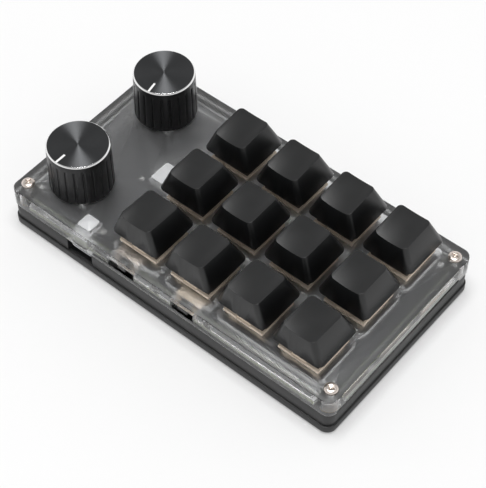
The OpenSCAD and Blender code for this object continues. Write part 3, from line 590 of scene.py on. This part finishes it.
def stem_post(ceiling):
    """The round post under a cap's top, with its cross-shaped hole sunk into its foot."""
    bm = bmesh.new()
    top = ceiling + POST_BURIED
    bmesh.ops.create_cone(bm, cap_ends=True, segments=POST_SIDES, radius1=POST_RADIUS, radius2=POST_RADIUS,
                          depth=top - POST_FOOT)
    bmesh.ops.translate(bm, verts=bm.verts, vec=(0, 0, (top + POST_FOOT) / 2))
    arm, half = CROSS_LENGTH / 2, CROSS_WIDTH / 2
    for axis in "xy":
        cut_across(bm, axis, (-arm, -half, half, arm))
    cross = []
    for face in bm.faces:
        middle = face.calc_center_median()
        across, along = sorted((abs(middle.x), abs(middle.y)))
        if face.normal.z < -LEVEL and across < half and along < arm:
            cross.append(face)
    sunk = bmesh.ops.extrude_face_region(bm, geom=cross)["geom"]
    bmesh.ops.delete(bm, geom=[face for face in cross if face.is_valid], context="FACES")
    bmesh.ops.translate(bm, verts=[part for part in sunk if isinstance(part, bmesh.types.BMVert)],
                        vec=(0, 0, CROSS_DEPTH))
    bmesh.ops.recalc_face_normals(bm, faces=bm.faces)
    return bm


KEYCAP_BLACK = finish_material("keycap_black", CAP_COLOUR, 0.34, grain=0.2, depth=0.01, mottle=5.0, spread=0.04)
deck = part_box("cover")[1].z
for row in ROWS:
    skirt = (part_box(f"keycap_{row}_1")[0].z - deck) / MM
    for column in COLUMNS:
        node = f"keycap_{row}_{column}"
        shell, ceiling = cap_shell(row, skirt)
        bm = in_metres(joined(shell, stem_post(ceiling)), (*middle_of(node), deck))
        cap = mesh_object(f"{node}_dressed", bm, KEYCAP_BLACK, sharp=SHARP)
        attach(cap, f"key_{row}_{column}")
        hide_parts(node)

# ---------------------------------------------------------------- knobs
# Turned and anodised aluminium caps with a grooved skirt, a bright bevelled ring, a spun face and a white pointer line.
# A plastic hub pressed into each cap grips the encoder's flatted steel shaft.
KNOB_COLOUR = (0.018, 0.018, 0.019)
RING_COLOUR = (0.95, 0.95, 0.95)
SPUN_DEEP = (0.074, 0.076, 0.079, 1.0)
SPUN_PALE = (0.09, 0.092, 0.095, 1.0)
SPUN_ROUGH = (0.38, 0.44)
POINTER_COLOUR = (0.8, 0.8, 0.79)
HUB_COLOUR = (0.03, 0.03, 0.03)
ENCODER_COLOUR = (0.5, 0.51, 0.52)
SHAFT_COLOUR = (0.6, 0.61, 0.62)
# radii, then heights down from the top or up from the foot
KNOB_FOOT = 10.15
KNOB_NECK = 9.85
KNOB_FACE = 9.42
KNOB_BORE = 8.85
KNOB_RING = 0.45
KNOB_BAND = 2.1
KNOB_ROOF = 1.6
KNOB_HEM = 0.5
KNOB_EDGE = 0.06
KNOB_SHARP = 35.0
KNOB_GROOVES = 22
# the skirt has this many flats for each groove, and one of them is sunk in two steps: narrower by, deeper by
GROOVE_FLATS = 4
GROOVE_SINKS = ((0.14, 0.2), (0.1, 0.12))
FACE_RECESS = 0.2
FACE_SINK = 0.04
FACE_GAP = 0.01
FACE_CHAMFER = 0.05
FACE_SIDES = 96
POINTER_START = 5.65
POINTER_END = 9.52
POINTER_WIDTH = 0.7
POINTER_THICK = 0.1
POINTER_EDGE = 0.04
# by knob: degrees from +X
POINTER_TURN = {1: 90.0, 2: 101.0}


def knob_shell(bottom, top):
    """The turned cap without its face, in millimetres: a profile spun round the axis, with grooves in its skirt."""
    skirt_low, skirt_high = bottom + KNOB_HEM, top - KNOB_RING - KNOB_BAND
    lean = (KNOB_FOOT - KNOB_NECK) / (top - bottom)
    profile = [(0, top - FACE_RECESS), (KNOB_FACE, top - FACE_RECESS), (KNOB_FACE, top), (KNOB_NECK, top - KNOB_RING),
               (KNOB_FOOT - lean * (skirt_high - bottom), skirt_high), (KNOB_FOOT - lean * KNOB_HEM, skirt_low),
               (KNOB_FOOT, bottom), (KNOB_BORE, bottom), (KNOB_BORE, top - KNOB_ROOF), (0, top - KNOB_ROOF)]
    bm = bmesh.new()
    points = [bm.verts.new((radius, 0, height)) for radius, height in profile]
    lines = [bm.edges.new(pair) for pair in zip(points, points[1:])]
    bmesh.ops.spin(bm, geom=points + lines, cent=(0, 0, 0), axis=(0, 0, 1), angle=math.radians(360),
                   steps=GROOVE_FLATS * KNOB_GROOVES, use_merge=True)
    bmesh.ops.remove_doubles(bm, verts=bm.verts, dist=SAME_CORNER)
    bmesh.ops.recalc_face_normals(bm, faces=bm.faces)
    flats = []
    for face in bm.faces:
        middle = face.calc_center_median()
        if skirt_low < middle.z < skirt_high and middle.xy.length > (KNOB_BORE + KNOB_NECK) / 2:
            flats.append((math.atan2(middle.y, middle.x), face))
    flats.sort(key=lambda flat: flat[0])
    for _, face in flats[GROOVE_FLATS // 2::GROOVE_FLATS]:
        inward = -face.normal.copy()
        for narrower, deeper in GROOVE_SINKS:
            bmesh.ops.inset_region(bm, faces=[face], thickness=narrower, use_even_offset=True)
            bmesh.ops.translate(bm, verts=face.verts, vec=inward * deeper)
    turned = [edge for edge in sharp_edges(bm, KNOB_SHARP)
              if abs(edge.verts[0].co.z - edge.verts[1].co.z) < SAME_HEIGHT
              and abs(edge.verts[0].co.xy.length - edge.verts[1].co.xy.length) < SAME_CORNER]
    break_edges(bm, turned, KNOB_EDGE, 2)
    for face in bm.faces:
        middle = face.calc_center_median()
        face.material_index = int(middle.z > top - KNOB_RING and middle.xy.length > KNOB_FACE - FACE_GAP)
    return bm


def knob_face(top):
    """The spun disc, set in the recess inside the ring, with a fine chamfer round its face."""
    bm = bmesh.new()
    radius = KNOB_FACE - FACE_GAP
    bmesh.ops.create_cone(bm, cap_ends=True, segments=FACE_SIDES, radius1=radius, radius2=radius, depth=FACE_RECESS)
    break_edges(bm, [edge for edge in bm.edges if all(vert.co.z > 0 for vert in edge.verts)], FACE_CHAMFER, 2)
    bmesh.ops.translate(bm, verts=bm.verts, vec=(0, 0, top - FACE_RECESS / 2 - FACE_SINK))
    return bm


def knob_pointer(top, turn):
    """The pointer line, a thin bar let into the face and the ring, turned to its place."""
    bm = bmesh.new()
    bmesh.ops.create_cube(bm, size=1.0)
    bmesh.ops.scale(bm, verts=bm.verts, vec=(POINTER_END - POINTER_START, POINTER_WIDTH, POINTER_THICK))
    break_edges(bm, bm.edges[:], POINTER_EDGE, 2)
    bmesh.ops.translate(bm, verts=bm.verts, vec=((POINTER_END + POINTER_START) / 2, 0, top - POINTER_THICK / 2))
    bmesh.ops.rotate(bm, verts=bm.verts, matrix=Matrix.Rotation(math.radians(turn), 3, "Z"))
    return bm


def spun_material():
    """Black anodised aluminium, spun: fine rings round the axis, and a sheen that fans out across them."""
    material, tree = new_tree("spun_black")
    bsdf = add_node(tree, "ShaderNodeBsdfPrincipled", Metallic=1.0, Anisotropic=1.0, Anisotropic_Rotation=0.25)
    tangent = add_node(tree, "ShaderNodeTangent", {"direction_type": "RADIAL", "axis": "Z"})
    tree.links.new(tangent.outputs[0], bsdf.inputs["Tangent"])
    effect = add_node(tree, "ShaderNodeGroup", {"node_tree": GRAIN}, Grain_Size=0.4, Mottle_Size=4.0).outputs
    tree.links.new(blend_colours(tree, effect["Mottle"], SPUN_DEEP, SPUN_PALE), bsdf.inputs["Base Color"])
    drift = add_node(tree, "ShaderNodeMapRange", Value=effect["Height"], To_Min=SPUN_ROUGH[0], To_Max=SPUN_ROUGH[1])
    tree.links.new(drift.outputs[0], bsdf.inputs["Roughness"])
    add_node(tree, "ShaderNodeOutputMaterial", Surface=bsdf.outputs[0])
    return material


KNOB_BLACK = finish_material("knob_black", KNOB_COLOUR, 0.32, grain=0.15, depth=0.006, Metallic=0.5)
RING_BRIGHT = finish_material("ring_bright", RING_COLOUR, 0.12, shade=0.03, grain=0.3, depth=0.002, Metallic=1.0)
SPUN_BLACK = spun_material()
POINTER_WHITE = finish_material("pointer_white", POINTER_COLOUR, 0.4)
HUB_BLACK = finish_material("hub_black", HUB_COLOUR, 0.5)
ENCODER_CAN = finish_material("encoder_can", ENCODER_COLOUR, 0.35, Metallic=1.0)
SHAFT_STEEL = finish_material("shaft_steel", SHAFT_COLOUR, 0.25, Metallic=1.0)
for knob, turn in POINTER_TURN.items():
    low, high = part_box(f"knob_{knob}")
    bottom, top = low.z / MM, high.z / MM
    axis = (*middle_of(f"knob_{knob}"), 0)
    shell = mesh_object(f"knob_{knob}_shell", in_metres(knob_shell(bottom, top), axis), KNOB_BLACK, RING_BRIGHT,
                        sharp=KNOB_SHARP)
    disc = mesh_object(f"knob_{knob}_face", in_metres(knob_face(top), axis), SPUN_BLACK)
    pointer = mesh_object(f"knob_{knob}_pointer", in_metres(knob_pointer(top, turn), axis), POINTER_WHITE)
    for piece in (shell, disc, pointer):
        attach(piece, f"knob_turn_{knob}")
    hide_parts(f"knob_{knob}")
    paint_node(f"encoder_body_{knob}", ENCODER_CAN)
    paint_node(f"encoder_plunger_{knob}", BLACK_MOULDING)
    paint_node(f"encoder_shaft_{knob}", SHAFT_STEEL)
    paint_node(f"knob_insert_{knob}", HUB_BLACK)

# ---------------------------------------------------------------- cover screws
# Four rose-coloured pan head screws, one in each corner of the cover. They go in last and clamp the cover to the
# frame's brass inserts.
ROSE_COLOUR = (0.78, 0.7, 0.64)
COVER_SCREW_EDGE = 0.08
ROSE_STEEL = finish_material("rose_steel", ROSE_COLOUR, 0.28, Metallic=1.0)
edged_copy("cover_screws", "base", ROSE_STEEL, COVER_SCREW_EDGE)

low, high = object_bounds()
